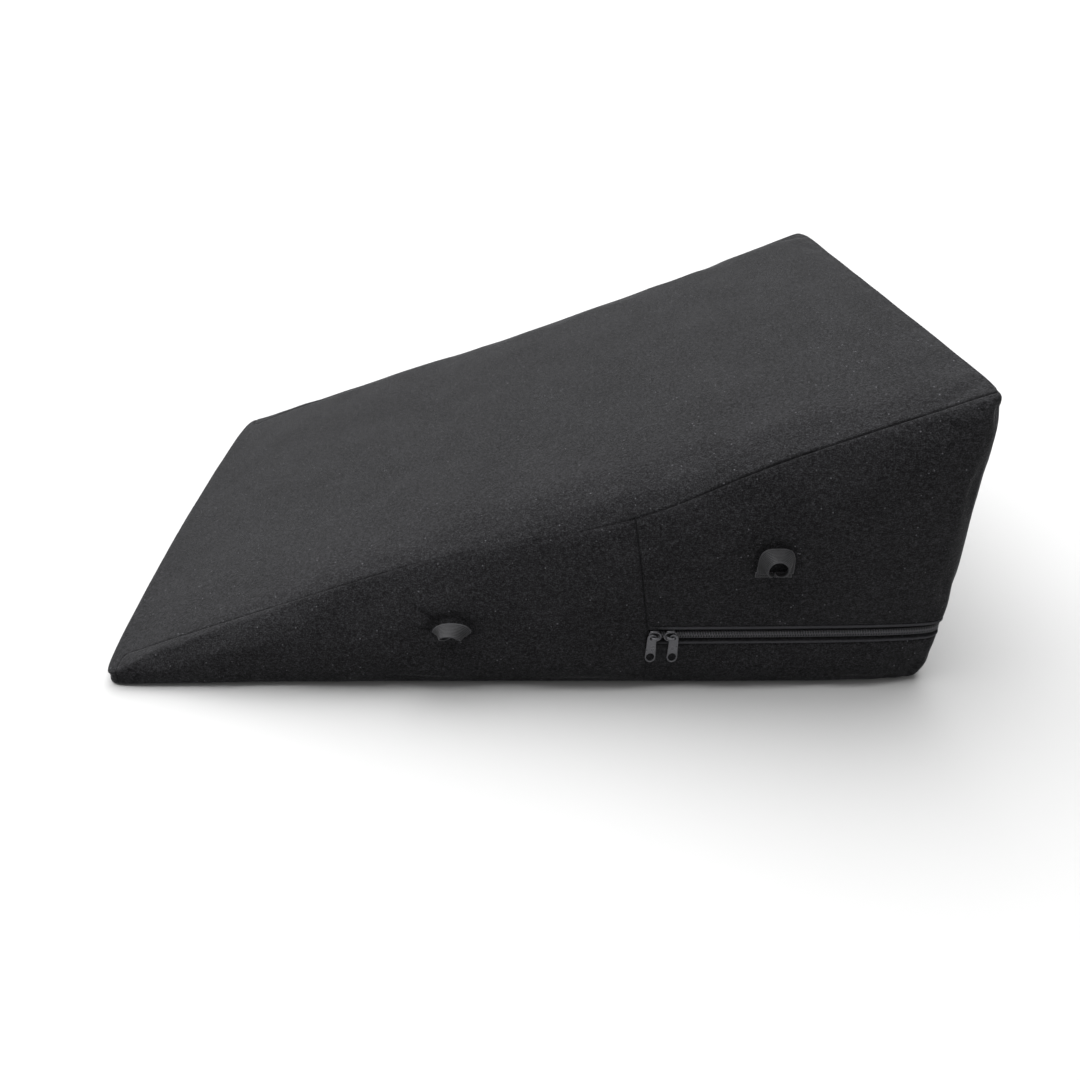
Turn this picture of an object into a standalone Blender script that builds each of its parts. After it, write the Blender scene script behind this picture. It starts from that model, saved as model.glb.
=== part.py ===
"""Wedge-shaped positioning cushion: a foam wedge in a fitted brushed cover, with a coil zip round the heel
and ribbon loops sewn to both long sides.

Metres, +Z up. The origin is at the middle of the footprint, on the floor. +X points to the tall heel,
-Y to the side that shows the zip's sliders.
"""
import math

import bmesh
import bpy
from mathutils import Matrix, Vector
from mathutils.bvhtree import BVHTree

# Overall size, and the clearance that touching pieces keep
TOE_X = -0.2893
HEEL_X = 0.2964
WIDTH = 0.440
HEIGHT = 0.2245
TOE_HEIGHT = 0.010
GAP = 0.0003

# Zip: a channel round the heel at one height, with the tape, the coil and two sliders in it
ZIP_START = 0.0878
ZIP_LEVEL = 0.0469
CHANNEL_HEIGHT = 0.0102
CHANNEL_DEPTH = 0.005
TAPE_THICKNESS = 0.001
COIL_HEIGHT = 0.0062
COIL_THICKNESS = 0.0024
COIL_ROUNDING = 0.0009
CORNER_RADIUS = 0.030
CORNER_STEPS = 8
STRAIGHT_STEP = 0.022

# Slider: a hollow body over the coil, with a bridge that the pull hangs from
SLIDER_LENGTH = 0.0088
SLIDER_HEIGHT = 0.0078
SLIDER_PROUD = 0.0012
SLIDER_ROUNDING = 0.0012
SLIDER_GAP = 0.0016
BRIDGE_THICKNESS = 0.0013
BRIDGE_SPAN = 0.0048
BRIDGE_INSET = 0.0021
BRIDGE_ROOT = 0.0006
PULL_THICKNESS = 0.0012
PULL_LENGTH = 0.0160
PULL_TOP_RADIUS = 0.0031
PULL_END_RADIUS = 0.0036
PULL_TOP_HOLE = 0.0014
PULL_END_HOLE = 0.0028
PULL_LEAN = math.radians(3.0)

# Ribbon loops: the ends are sewn flat side by side, the ribbon between them arches over and stands out
RIBBON_THICKNESS = 0.001
SEWN_HEIGHT = 0.0035
LEG_GAP = 0.0007
ARCH_FULLNESS = 0.8
LOOP_STEPS = 24
LOOPS = (
    # name, x, z, half width, height, lean, mouth half width, mouth height, mouth reach, mouth shift
    ("front", -0.0457, 0.0437, 0.0140, 0.0155, 0.000, 0.0064, 0.0104, 0.0113, -0.0025),
    ("rear", 0.1676, 0.0947, 0.0125, 0.0230, 0.002, 0.0064, 0.0187, 0.0108, 0.0010),
)

# Cage of the cushion: one row for each section from the toe to the heel
SECTIONS = (
    # share of length, extra height, extra half width, roll of the top edge
    (0.000, 0.0000, -0.0040, 0.010),
    (0.022, 0.0000, -0.0010, 0.012),
    (0.160, 0.0010, 0.0010, 0.022),
    (0.400, 0.0045, 0.0030, 0.034),
    (0.680, 0.0050, 0.0030, 0.034),
    (0.900, 0.0020, 0.0010, 0.022),
    (0.978, 0.0000, 0.0000, 0.012),
    (1.000, 0.0000, 0.0000, 0.010),
)
# Levels of the cage up a side, each no higher than its share of the section's height
LEVELS = (
    # height, share of height, radius of the heel's corner in plan
    (0.002, 0.08, 0.040),
    (0.014, 0.22, 0.028),
    (0.046, 0.40, 0.024),
    (0.080, 0.58, 0.010),
    (None, 0.74, 0.008),
    (None, 1.00, 0.008),
)
ROWS_ACROSS = 6
INNER_ROW = 0.45
BASE_ROLL = 0.014
TOE_BOW = 0.0110
HEEL_BOW = 0.004


def clear_scene():
    """Remove every object that the scene holds."""
    for thing in list(bpy.data.objects):
        bpy.data.objects.remove(thing)


def collection(name):
    """Make a collection in the scene."""
    group = bpy.data.collections.new(name)
    bpy.context.scene.collection.children.link(group)
    return group


def material(name, colour, roughness, metallic=0.0):
    """Principled material of one colour."""
    made = bpy.data.materials.new(name)
    made.use_nodes = True
    shader = made.node_tree.nodes["Principled BSDF"]
    shader.inputs["Base Color"].default_value = (*colour, 1.0)
    shader.inputs["Roughness"].default_value = roughness
    shader.inputs["Metallic"].default_value = metallic
    return made


def round_heel_corner(x, y, radius):
    """Keep a point of the plan inside the heel's rounded corner."""
    centre_x = HEEL_X - radius
    centre_y = WIDTH / 2 - radius
    reach_x = x - centre_x
    reach_y = abs(y) - centre_y
    if reach_x <= 0 or reach_y <= 0:
        return x, y
    shrink = min(1.0, radius / math.hypot(reach_x, reach_y))
    return centre_x + reach_x * shrink, math.copysign(centre_y + reach_y * shrink, y)


def in_flat_base(i, j, k):
    """Whether a corner of the cage belongs to the flat that the cushion stands on."""
    return k == 0 and 0 < i < len(SECTIONS) - 1 and 0 < j < ROWS_ACROSS


def base_sides(i, j, k):
    """Sides of the flat base that a corner of the cage lies on."""
    if not in_flat_base(i, j, k):
        return set()
    places = {"toe": i == 1, "heel": i == len(SECTIONS) - 2, "near": j == 1, "far": j == ROWS_ACROSS - 1}
    return {side for side, here in places.items() if here}


def cage_point(i, j, k):
    """Corner of the cage at section i, row j across and level k up."""
    share, extra_height, extra_width, roll = SECTIONS[i]
    level, level_share, corner_radius = LEVELS[k]
    top = len(LEVELS) - 1
    outer = ROWS_ACROSS // 2
    side = j - outer
    crown = 1 - (side / outer) ** 2
    height = TOE_HEIGHT + (HEIGHT - TOE_HEIGHT) * share
    if k == top:
        z = height + extra_height * crown
    elif in_flat_base(i, j, k):
        z = 0.0
    elif level is None:
        z = max(height - roll, level_share * height)
    else:
        z = min(level, level_share * height)
    half = WIDTH / 2
    if 0 < k < top:
        half += extra_width
    edge_roll = BASE_ROLL + (roll - BASE_ROLL) * k / top
    y = (0.0, INNER_ROW * half, half - edge_roll, half)[abs(side)]
    x = TOE_X + (HEEL_X - TOE_X) * share
    x, y = round_heel_corner(x, math.copysign(y, side), corner_radius)
    if i == 0:
        x -= TOE_BOW * crown
    if i == len(SECTIONS) - 1:
        x += HEEL_BOW * crown * (1 - (2 * k / top - 1) ** 2)
    return Vector((x, y, z))


def grid_place(vert):
    """Section, row and level of a cage corner that still stands on its grid of whole numbers."""
    return tuple(round(c) for c in vert.co)


def crease_flat_base(bm):
    """Keep the flat base a true rectangle where the smoothing would round its rim."""
    edge_crease = bm.edges.layers.float.new("crease_edge")
    corner_crease = bm.verts.layers.float.new("crease_vert")
    for edge in bm.edges:
        first, second = (base_sides(*grid_place(vert)) for vert in edge.verts)
        edge[edge_crease] = float(bool(first & second))
    for vert in bm.verts:
        vert[corner_crease] = float(len(base_sides(*grid_place(vert))) == 2)


def cushion_body(group, finish):
    """Filled wedge: a box cut into rows, shaped to the sections and smoothed."""
    counts = (len(SECTIONS) - 1, ROWS_ACROSS, len(LEVELS) - 1)
    bm = bmesh.new()
    bmesh.ops.create_cube(bm, size=1.0)
    for vert in bm.verts:
        vert.co = Vector([(vert.co[a] + 0.5) * counts[a] for a in range(3)])
    for axis in range(3):
        normal = Vector([float(axis == a) for a in range(3)])
        for step in range(1, counts[axis]):
            geometry = bm.verts[:] + bm.edges[:] + bm.faces[:]
            bmesh.ops.bisect_plane(bm, geom=geometry, plane_co=normal * step, plane_no=normal)
    crease_flat_base(bm)
    for vert in bm.verts:
        vert.co = cage_point(*grid_place(vert))
    mesh = bpy.data.meshes.new("cushion")
    bm.to_mesh(mesh)
    bm.free()
    mesh.shade_smooth()
    body = bpy.data.objects.new("cushion", mesh)
    body.data.materials.append(finish)
    group.objects.link(body)
    smooth = body.modifiers.new("smooth", "SUBSURF")
    smooth.levels = 2
    smooth.render_levels = 2
    return body


def surface_of(body):
    """Search tree of the smoothed body, from which the other pieces find its surface."""
    return BVHTree.FromObject(body, bpy.context.evaluated_depsgraph_get())


def side_reach(surface, x, z):
    """Distance of the cushion's long sides from the middle plane at x and z."""
    hit = surface.ray_cast(Vector((x, -WIDTH, z)), Vector((0, 1, 0)))[0]
    return -hit.y


def zip_path(surface, inset):
    """Plan of the zip from the near side round the heel to the far side, set in from the surface."""
    centre_x = HEEL_X - CORNER_RADIUS
    centre_y = WIDTH / 2 - CORNER_RADIUS
    run = round((centre_x - ZIP_START) / STRAIGHT_STEP)
    across = round(2 * centre_y / STRAIGHT_STEP)
    guide = [(ZIP_START + (centre_x - ZIP_START) * n / run, -WIDTH / 2, 0.0) for n in range(run)]
    for n in range(CORNER_STEPS + 1):
        turn = math.pi / 2 * n / CORNER_STEPS
        guide.append((centre_x + CORNER_RADIUS * math.sin(turn), -centre_y - CORNER_RADIUS * math.cos(turn), turn))
    guide += [(HEEL_X, -centre_y + 2 * centre_y * n / across, math.pi / 2) for n in range(1, across // 2)]
    far_half = [(x, -y, math.pi - turn) for x, y, turn in reversed(guide)]
    path = []
    for x, y, turn in guide + far_half:
        outward = Vector((math.sin(turn), -math.cos(turn), 0))
        start = Vector((x, y, ZIP_LEVEL)) + outward * WIDTH
        hit = surface.ray_cast(start, -outward)[0]
        path.append(hit - outward * inset)
    return path


def strip(name, path, height, thickness, group, finish):
    """Upright strip along a plan path, centred on the path's level."""
    bm = bmesh.new()
    rise = Vector((0, 0, height / 2))
    low = [bm.verts.new(point - rise) for point in path]
    high = [bm.verts.new(point + rise) for point in path]
    for n in range(len(path) - 1):
        bm.faces.new((low[n], low[n + 1], high[n + 1], high[n]))
    mesh = bpy.data.meshes.new(name)
    bm.to_mesh(mesh)
    bm.free()
    made = bpy.data.objects.new(name, mesh)
    group.objects.link(made)
    if finish:
        mesh.materials.append(finish)
    skin = made.modifiers.new("thickness", "SOLIDIFY")
    skin.thickness = thickness
    skin.offset = 0.0
    skin.use_even_offset = True
    return made


def hide_cutter(cutter):
    """Show a cutter as wires and leave it out of renders."""
    cutter.hide_render = True
    cutter.display_type = "WIRE"


def combine(target, other, operation):
    """Boolean modifier on the target."""
    made = target.modifiers.new(operation.lower(), "BOOLEAN")
    made.operation = operation
    made.object = other
    made.solver = "EXACT"


def zip_tape_and_coil(surface, group, tape_finish, coil_finish):
    """Tape that stands at the back of the channel, and the closed coil in front of it."""
    tape_inset = CHANNEL_DEPTH - GAP - TAPE_THICKNESS / 2
    coil_inset = tape_inset - TAPE_THICKNESS / 2 - GAP - COIL_THICKNESS / 2
    # The tape and the coil keep the clearance to the channel's ends too
    tape_path = trim_ends(zip_path(surface, tape_inset), GAP)
    coil_path = trim_ends(zip_path(surface, coil_inset), GAP)
    strip("zip_tape", tape_path, CHANNEL_HEIGHT - 2 * GAP, TAPE_THICKNESS, group, tape_finish)
    coil = strip("zip_coil", coil_path, COIL_HEIGHT, COIL_THICKNESS, group, coil_finish)
    soften(coil, COIL_ROUNDING, 2)


def trim_ends(path, length):
    """Shorten a path at both ends."""
    first = path[0] + (path[1] - path[0]).normalized() * length
    last = path[-1] + (path[-2] - path[-1]).normalized() * length
    return [first] + path[1:-1] + [last]


def soften(thing, width, segments):
    """Round the edges."""
    bevel = thing.modifiers.new("soften", "BEVEL")
    bevel.width = width
    bevel.segments = segments


def box(name, low, high, group):
    """Box between two corners."""
    bpy.ops.mesh.primitive_cube_add(size=1.0)
    made = bpy.context.object
    made.name = name
    size = Vector(high) - Vector(low)
    made.data.transform(Matrix.Diagonal((*size, 1.0)))
    made.data.transform(Matrix.Translation((Vector(low) + Vector(high)) / 2))
    for old in made.users_collection:
        old.objects.unlink(made)
    group.objects.link(made)
    return made


def mesh_from_curve(curve_object, name, group):
    """Replace a curve by its mesh with welded caps."""
    bpy.context.view_layer.update()
    evaluated = curve_object.evaluated_get(bpy.context.evaluated_depsgraph_get())
    mesh = bpy.data.meshes.new_from_object(evaluated)
    bm = bmesh.new()
    bm.from_mesh(mesh)
    bmesh.ops.remove_doubles(bm, verts=bm.verts, dist=1e-6)
    bm.to_mesh(mesh)
    bm.free()
    made = bpy.data.objects.new(name, mesh)
    made.matrix_world = curve_object.matrix_world.copy()
    group.objects.link(made)
    bpy.data.objects.remove(curve_object)
    return made


def slider(name, x, facing, front, group, cutters, finish):
    """Slider body at x whose nose points to +X where facing is 1; front is the y of the cover's face."""
    seat = front + CHANNEL_DEPTH - 2 * GAP - TAPE_THICKNESS
    half = SLIDER_LENGTH / 2
    rise = SLIDER_HEIGHT / 2
    shell = box(name, (x - half, front - SLIDER_PROUD, ZIP_LEVEL - rise), (x + half, seat, ZIP_LEVEL + rise), group)
    shell.data.materials.append(finish)
    soften(shell, SLIDER_ROUNDING, 2)
    coil_face = seat - COIL_THICKNESS - GAP
    slot_rise = COIL_HEIGHT / 2 + GAP
    slot_low = (x - SLIDER_LENGTH, coil_face, ZIP_LEVEL - slot_rise)
    slot_high = (x + SLIDER_LENGTH, seat + CHANNEL_DEPTH, ZIP_LEVEL + slot_rise)
    slot = box(name + "_slot", slot_low, slot_high, cutters)
    hide_cutter(slot)
    combine(shell, slot, "DIFFERENCE")
    arch = bridge(name + "_bridge", x, facing, front - SLIDER_PROUD, cutters)
    combine(shell, arch, "UNION")
    return shell


def bridge_leg(x, facing):
    """Place along the zip of the bridge's outer leg, where the pull hangs."""
    return x - facing * (SLIDER_LENGTH / 2 - BRIDGE_INSET)


def bridge(name, x, facing, plate, cutters):
    """Square wire that rises from the slider's plate, runs along the zip and goes back down."""
    radius = BRIDGE_THICKNESS / 2
    reach = 2 * GAP + PULL_THICKNESS + radius
    outer = bridge_leg(x, facing)
    inner = outer + facing * BRIDGE_SPAN
    data = bpy.data.curves.new(name, "CURVE")
    data.dimensions = "3D"
    data.bevel_depth = radius
    data.bevel_resolution = 1
    data.use_fill_caps = True
    spline = data.splines.new("POLY")
    root = plate + BRIDGE_ROOT
    points = ((outer, root), (outer, plate - reach), (inner, plate - reach), (inner, root))
    spline.points.add(len(points) - 1)
    for point, (px, py) in zip(spline.points, points):
        point.co = (px, py, ZIP_LEVEL, 1.0)
    wire = bpy.data.objects.new(name + "_wire", data)
    cutters.objects.link(wire)
    arch = mesh_from_curve(wire, name, cutters)
    hide_cutter(arch)
    return arch


def arc_points(centre, radius, start, end, steps):
    """Points of an arc in a curve's own plane."""
    points = []
    for n in range(steps + 1):
        turn = start + (end - start) * n / steps
        points.append((centre[0] + radius * math.cos(turn), centre[1] + radius * math.sin(turn)))
    return points


def pull(name, x, facing, front, group, finish):
    """Flat pull tab that hangs from the outer leg of the slider's bridge."""
    data = bpy.data.curves.new(name, "CURVE")
    data.dimensions = "2D"
    data.fill_mode = "BOTH"
    data.extrude = PULL_THICKNESS / 2
    drop = (0.0, -PULL_LENGTH)
    outline = arc_points((0, 0), PULL_TOP_RADIUS, 0, math.pi, 8)
    outline += arc_points(drop, PULL_END_RADIUS, math.pi, 2 * math.pi, 8)
    top_hole = arc_points((0, 0), PULL_TOP_HOLE, 0, 2 * math.pi, 10)[:-1]
    end_hole = arc_points(drop, PULL_END_HOLE, 0, 2 * math.pi, 14)[:-1]
    for ring in (outline, top_hole, end_hole):
        spline = data.splines.new("POLY")
        spline.use_cyclic_u = True
        spline.points.add(len(ring) - 1)
        for point, (px, py) in zip(spline.points, ring):
            point.co = (px, py, 0.0, 1.0)
    flat = bpy.data.objects.new(name + "_outline", data)
    flat.rotation_euler = (math.pi / 2 + PULL_LEAN, 0, 0)
    sag = PULL_TOP_HOLE - BRIDGE_THICKNESS / 2 - GAP
    seat = front - SLIDER_PROUD - GAP - PULL_THICKNESS / 2
    flat.location = (bridge_leg(x, facing), seat, ZIP_LEVEL - sag)
    group.objects.link(flat)
    tab = mesh_from_curve(flat, name, group)
    tab.data.materials.append(finish)
    return tab


def loop_edges(row, share):
    """Points of the ribbon's outer and inner edge at a share of its free length, as x, z and reach."""
    _, _, _, half, height, lean, mouth_half, mouth_height, mouth_reach, shift = row
    turn = math.pi * share
    rise = math.sin(turn) ** ARCH_FULLNESS
    across = math.copysign(abs(math.cos(turn)) ** ARCH_FULLNESS, math.cos(turn))
    outer_z = SEWN_HEIGHT + (height - SEWN_HEIGHT) * rise
    outer = (-half * across + lean * rise, outer_z, 0.0)
    lift = (1 - math.cos(2 * turn)) / 2
    inner_x = -LEG_GAP * math.cos(turn) - mouth_half * math.sin(2 * turn) + shift * lift
    inner = (inner_x, SEWN_HEIGHT + (mouth_height - SEWN_HEIGHT) * lift, mouth_reach * rise)
    return outer, inner


def ribbon_loop(name, row, side, surface, group, finish):
    """Ribbon loop on a long side: side is -1 for the near side and 1 for the far side."""
    _, x, z, half = row[:4]
    foot = ((-half, 0.0, 0.0), (-LEG_GAP, 0.0, 0.0))
    rungs = [foot]
    rungs += [loop_edges(row, n / LOOP_STEPS) for n in range(LOOP_STEPS + 1)]
    rungs.append(tuple((-px, pz, reach) for px, pz, reach in foot))
    bm = bmesh.new()
    seat = GAP + RIBBON_THICKNESS / 2
    ladder = []
    for rung in rungs:
        pair = []
        for px, pz, reach in rung:
            y = side * (side_reach(surface, x + px, z + pz) + seat + reach)
            pair.append(bm.verts.new((x + px, y, z + pz)))
        ladder.append(pair)
    for (a, b), (c, d) in zip(ladder, ladder[1:]):
        bm.faces.new((a, b, d, c))
    mesh = bpy.data.meshes.new(name)
    bm.to_mesh(mesh)
    bm.free()
    mesh.materials.append(finish)
    mesh.shade_smooth()
    made = bpy.data.objects.new(name, mesh)
    group.objects.link(made)
    skin = made.modifiers.new("thickness", "SOLIDIFY")
    skin.thickness = RIBBON_THICKNESS
    skin.offset = 0.0
    skin.use_even_offset = True
    return made


def main():
    """Build the cushion."""
    clear_scene()
    parts = collection("positioning_cushion")
    cutters = collection("cutters")
    cover = material("cover", (0.030, 0.030, 0.034), 0.95)
    tape = material("zip_tape", (0.020, 0.020, 0.022), 0.85)
    coil = material("zip_coil", (0.045, 0.045, 0.048), 0.45)
    metal = material("zip_metal", (0.080, 0.080, 0.088), 0.40, 0.6)
    ribbon = material("ribbon", (0.050, 0.050, 0.055), 0.75)

    body = cushion_body(parts, cover)
    surface = surface_of(body)
    channel = strip("channel", zip_path(surface, 0.0), CHANNEL_HEIGHT, 2 * CHANNEL_DEPTH, cutters, None)
    hide_cutter(channel)
    combine(body, channel, "DIFFERENCE")

    zip_tape_and_coil(surface, parts, tape, coil)
    left_x = ZIP_START + SLIDER_LENGTH / 2 + GAP
    right_x = left_x + SLIDER_LENGTH + SLIDER_GAP
    for name, x, facing in (("left", left_x, 1), ("right", right_x, -1)):
        front = -side_reach(surface, x, ZIP_LEVEL)
        slider("slider_" + name, x, facing, front, parts, cutters, metal)
        pull("pull_" + name, x, facing, front, parts, metal)
    for row in LOOPS:
        ribbon_loop("loop_near_" + row[0], row, -1, surface, parts, ribbon)
        ribbon_loop("loop_far_" + row[0], row, 1, surface, parts, ribbon)


main()
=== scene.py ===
"""Looks of the wedge-shaped positioning cushion: brushed cover and its seams, coil zip and ribbon loops.

Metres, +Z up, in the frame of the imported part. +X points to the tall heel, -Y to the side with the sliders.
"""
import math

import bmesh
import bpy
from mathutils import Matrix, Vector, noise
from mathutils.bvhtree import BVHTree


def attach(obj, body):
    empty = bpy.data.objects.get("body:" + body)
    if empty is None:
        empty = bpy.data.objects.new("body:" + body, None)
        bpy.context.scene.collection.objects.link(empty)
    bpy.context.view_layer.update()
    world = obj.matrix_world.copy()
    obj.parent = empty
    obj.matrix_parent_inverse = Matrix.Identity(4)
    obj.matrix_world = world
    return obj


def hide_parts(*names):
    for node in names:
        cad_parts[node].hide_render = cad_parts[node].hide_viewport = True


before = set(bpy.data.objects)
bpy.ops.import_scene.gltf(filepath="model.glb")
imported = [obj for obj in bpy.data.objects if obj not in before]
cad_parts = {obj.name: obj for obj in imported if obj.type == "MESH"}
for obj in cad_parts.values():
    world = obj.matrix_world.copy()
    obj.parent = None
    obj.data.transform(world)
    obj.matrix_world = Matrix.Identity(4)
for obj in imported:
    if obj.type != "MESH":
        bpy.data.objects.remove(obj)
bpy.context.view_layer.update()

# Overall size and clearances, as in the part
TOE_X = -0.2893
HEEL_X = 0.2964
WIDTH = 0.440
HEIGHT = 0.2245
TOE_HEIGHT = 0.010
GAP = 0.0003

# Cage of the cushion, as in the part
SECTIONS = (
    # share of length, extra height, extra half width, roll of the top edge
    (0.000, 0.0000, -0.0040, 0.010),
    (0.022, 0.0000, -0.0010, 0.012),
    (0.160, 0.0010, 0.0010, 0.022),
    (0.400, 0.0045, 0.0030, 0.034),
    (0.680, 0.0050, 0.0030, 0.034),
    (0.900, 0.0020, 0.0010, 0.022),
    (0.978, 0.0000, 0.0000, 0.012),
    (1.000, 0.0000, 0.0000, 0.010),
)
LEVELS = (
    # height, share of height, radius of the heel's corner in plan
    (0.002, 0.08, 0.040),
    (0.014, 0.22, 0.028),
    (0.046, 0.40, 0.024),
    (0.080, 0.58, 0.010),
    (None, 0.74, 0.008),
    (None, 1.00, 0.008),
)
ROWS_ACROSS = 6
INNER_ROW = 0.45
BASE_ROLL = 0.014
TOE_BOW = 0.0110
HEEL_BOW = 0.004

# Zip, as in the part, but with pulls that are a little longer
ZIP_START = 0.0878
ZIP_LEVEL = 0.0469
CHANNEL_HEIGHT = 0.0102
CHANNEL_DEPTH = 0.005
TAPE_THICKNESS = 0.001
COIL_THICKNESS = 0.0024
COIL_HEIGHT = 0.0062
CORNER_RADIUS = 0.030
SLIDER_LENGTH = 0.0088
SLIDER_GAP = 0.0016
SLIDER_PROUD = 0.0012
BRIDGE_THICKNESS = 0.0013
BRIDGE_SPAN = 0.0048
BRIDGE_INSET = 0.0021
PULL_THICKNESS = 0.0012
PULL_LENGTH = 0.0164
PULL_TOP_RADIUS = 0.0031
PULL_END_RADIUS = 0.0036
PULL_TOP_HOLE = 0.0014
PULL_END_HOLE = 0.0029
PULL_END_STRETCH = 1.22
PULL_LEAN = math.radians(3.0)

# Fine parts of the zip: two interlocked coils, their thread, the tape, and the relief of sliders and pulls
COIL_PITCH = 0.0018
COIL_STEPS = 10
COIL_WIRE = 0.00038
COIL_SIDES = 5
COIL_OVERLAP = 0.0007
COIL_FORWARD = 0.0005
THREAD_RADIUS = 0.00020
THREAD_DIP = 0.00030
THREAD_LEVEL = 0.00185
THREAD_STEPS = 4
TAPE_STEP = 0.003
TAPE_ROWS = 16
TAPE_EDGE = 0.0009
SLIDER_HALF_HEIGHT = 0.0039
SLIDER_PLATE = 0.0009
SLIDER_DEPTH = 0.0030
SLIDER_WALL = 0.0008
SLIDER_PASSAGE = 0.0031
PLATE_FORWARD = 0.00055
RIM_INSET = 0.00045
RIM_LEVEL = 0.00035
RIM_RADIUS = 0.00048
PULL_RIM_INSET = 0.00034
PULL_RIM_LEVEL = 0.00022
PULL_RIM_RADIUS = 0.00036
EYE_RIM_LEVEL = 0.00018
EYE_RIM_RADIUS = 0.00028
HOLE_RIM_LEVEL = 0.00020
HOLE_RIM_RADIUS = 0.00030
BRIDGE_RISE = 0.0006
BRIDGE_WIDTH = 0.0021
BRIDGE_METAL = 0.0011

# Ribbon loops: those of the part, drawn a little closer to the photograph
RIBBON_THICKNESS = 0.001
LEG_GAP = 0.0007
LOOPS = (
    # name, x, z, half width, height, mouth half width, mouth height, mouth reach, mouth shift
    ("front", -0.0457, 0.0460, 0.0140, 0.0132, 0.0064, 0.0104, 0.0113, -0.0025),
    ("rear", 0.1670, 0.0947, 0.0121, 0.0230, 0.0062, 0.0187, 0.0098, -0.0012),
)
# How square the arch is (less is squarer), how far its feet are drawn together, how much of them is sewn
ARCH_SQUARE = {"front": 0.80, "rear": 0.52}
FEET_DRAWN_IN = {"front": 0.45, "rear": 0.0}
SEWN_HEIGHT = {"front": 0.0020, "rear": 0.0035}
FOOT_STEP = 0.0022
FEET_HEIGHT = 0.62
RIBS = 10
RIB_STEPS = 5
RIB_RELIEF = 0.00014
LOOP_ROWS = 90
SEWN_ROWS = 4
STITCH_ROWS = (0.25, 0.75)
STITCH_PITCH = 0.0021
STITCH_SHARE = 0.72
STITCH_RADIUS = 0.00016
STITCH_RISE = 0.00015
STITCH_INSET = 0.0008
STITCH_SUNK = 0.00005
STITCH_STEPS = 4

# Cover in the simulation: it may move this far from the foam, and not at all close to what is sewn to it
COVER_CAP = 0.0022
COVER_FRAMES = 20
COVER_PRESSURE = 4.0
COVER_SHRINK = -0.008
HELD_NEAR = 0.012
FREE_FROM = 0.040
TOE_STIFF = 0.150

# Where the faces of the cover begin: distances from the middle plane, and x at the heel
SHOULDER_FROM = 0.180
LOOP_SIDE_FROM = 0.190
SIDE_FROM = 0.195
SIDE_MIDDLE = 0.2225
HEEL_FROM = 0.270

# Seams: lines on the cover where its panels meet
SEAM_DEPTH = 0.0011
SEAM_WIDTH = 0.0006
SEAM_PUFF = 0.00005
PUFF_OFF = 0.0028
PUFF_WIDTH = 0.0018
SEAM_CUTS = (-0.0042, -0.0026, -0.0013, -0.0006, 0.0, 0.0006, 0.0013, 0.0026, 0.0042)
SEAM_REACH_FRONT = 0.1985
SEAM_REACH_REAR = 0.2116
SEAM_DIP = 0.0105
SEAM_DIP_X = 0.082
SEAM_DIP_WIDTH = 0.060
SEAM_RISES_FROM = -0.090
SEAM_RISES_TO = 0.030
SEAM_FADE = 0.80
SEAM_FADE_X = -0.010
SEAM_FADE_WIDTH = 0.090
HEEL_SEAM = -0.0735
TOE_SEAM_X = -0.2835
BASE_SEAM_Z = 0.0022
BASE_SEAM_BAND = 0.012
UPRIGHT_LEAN = 0.149
UPRIGHT_X = 0.080
UPRIGHT_BAND = 0.030
TOP_SEAM_FLOOR = 0.0016
TOP_STITCH_PITCH = 0.0045

# Lips of the zip: the cover's folded edges over and under the channel, and where a painted highlight lightens
# their folded edges
LIP_UPPER = 0.0022
LIP_LOWER = 0.0017
LIP_PROUD = 0.0003
LIP_CREASE = 0.0010
LIP_CREASE_OFF = 0.0003
LIP_CREASE_WIDTH = 0.0007
LIP_CLEAR = 0.0012
LIP_ROOT = 0.0006
LIP_STEP = 0.0001
ZIP_BAND = 0.014
FOLD_HIGHLIGHT_FROM_UPPER = 0.011
FOLD_HIGHLIGHT_FROM_LOWER = 0.005
ZIP_END_CUTS = (-0.0001, 0.0001, 0.002, 0.004)
LIP_CUTS = (-0.00012, 0.0, 0.0003, 0.0006, 0.0010, 0.0014, 0.0018, 0.0021, 0.0024, 0.0028, 0.0036, 0.0050)

# The tight cover rounds the foam's upper long edges and presses them in towards the toe, where it is thin
LEAN_IN = 0.006
LEAN_IN_FROM = 0.55
EDGE_RADIUS = 0.028
EDGE_RADIUS_TOE = 0.004
EDGE_OUTSIDE = 0.2185
EDGE_LIFT = 0.0022
EDGE_GROWS_FROM = -0.28
EDGE_FULL_FROM = 0.04
EDGE_FULL_UNTIL = 0.14
EDGE_SHARE_MOST = 0.94

# Unevenness of the cover over the foam: height and waves per metre
BROAD_WAVE = 0.0006
BROAD_SCALE = 13.0
SHORT_WAVE = 0.0003
SHORT_SCALE = 31.0

# The upper corners of the heel are pressed round
CORNER_PRESS = 0.0024
CORNER_REACH = 0.020

# Hollow over each loop, and creases that run from the sewing
DENT_DEPTH = {"front": 0.0032, "rear": 0.0020}
DENT_OFF = 0.0018
DENT_WIDTH = 0.0042
PUCKER_WIDTH = 0.0010
PUCKER_SIDE_OFF = 0.0022
PUCKER_SIDE_WIDTH = 0.0014
PUCKERS = (
    # start x and z at the loop, end x and z, depth
    (-0.0580, 0.0600, -0.0790, 0.0700, 0.0016),
    (-0.0600, 0.0500, -0.0720, 0.0545, 0.0011),
    (-0.0500, 0.0425, -0.0515, 0.0250, 0.0014),
    (-0.0460, 0.0425, -0.0440, 0.0300, 0.0009),
    (-0.0330, 0.0470, -0.0200, 0.0510, 0.0012),
    (0.1560, 0.0930, 0.1480, 0.0880, 0.0004),
    (0.1700, 0.0930, 0.1705, 0.0820, 0.0005),
    (0.2640, 0.2040, 0.2800, 0.1990, 0.0016),
)

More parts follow.
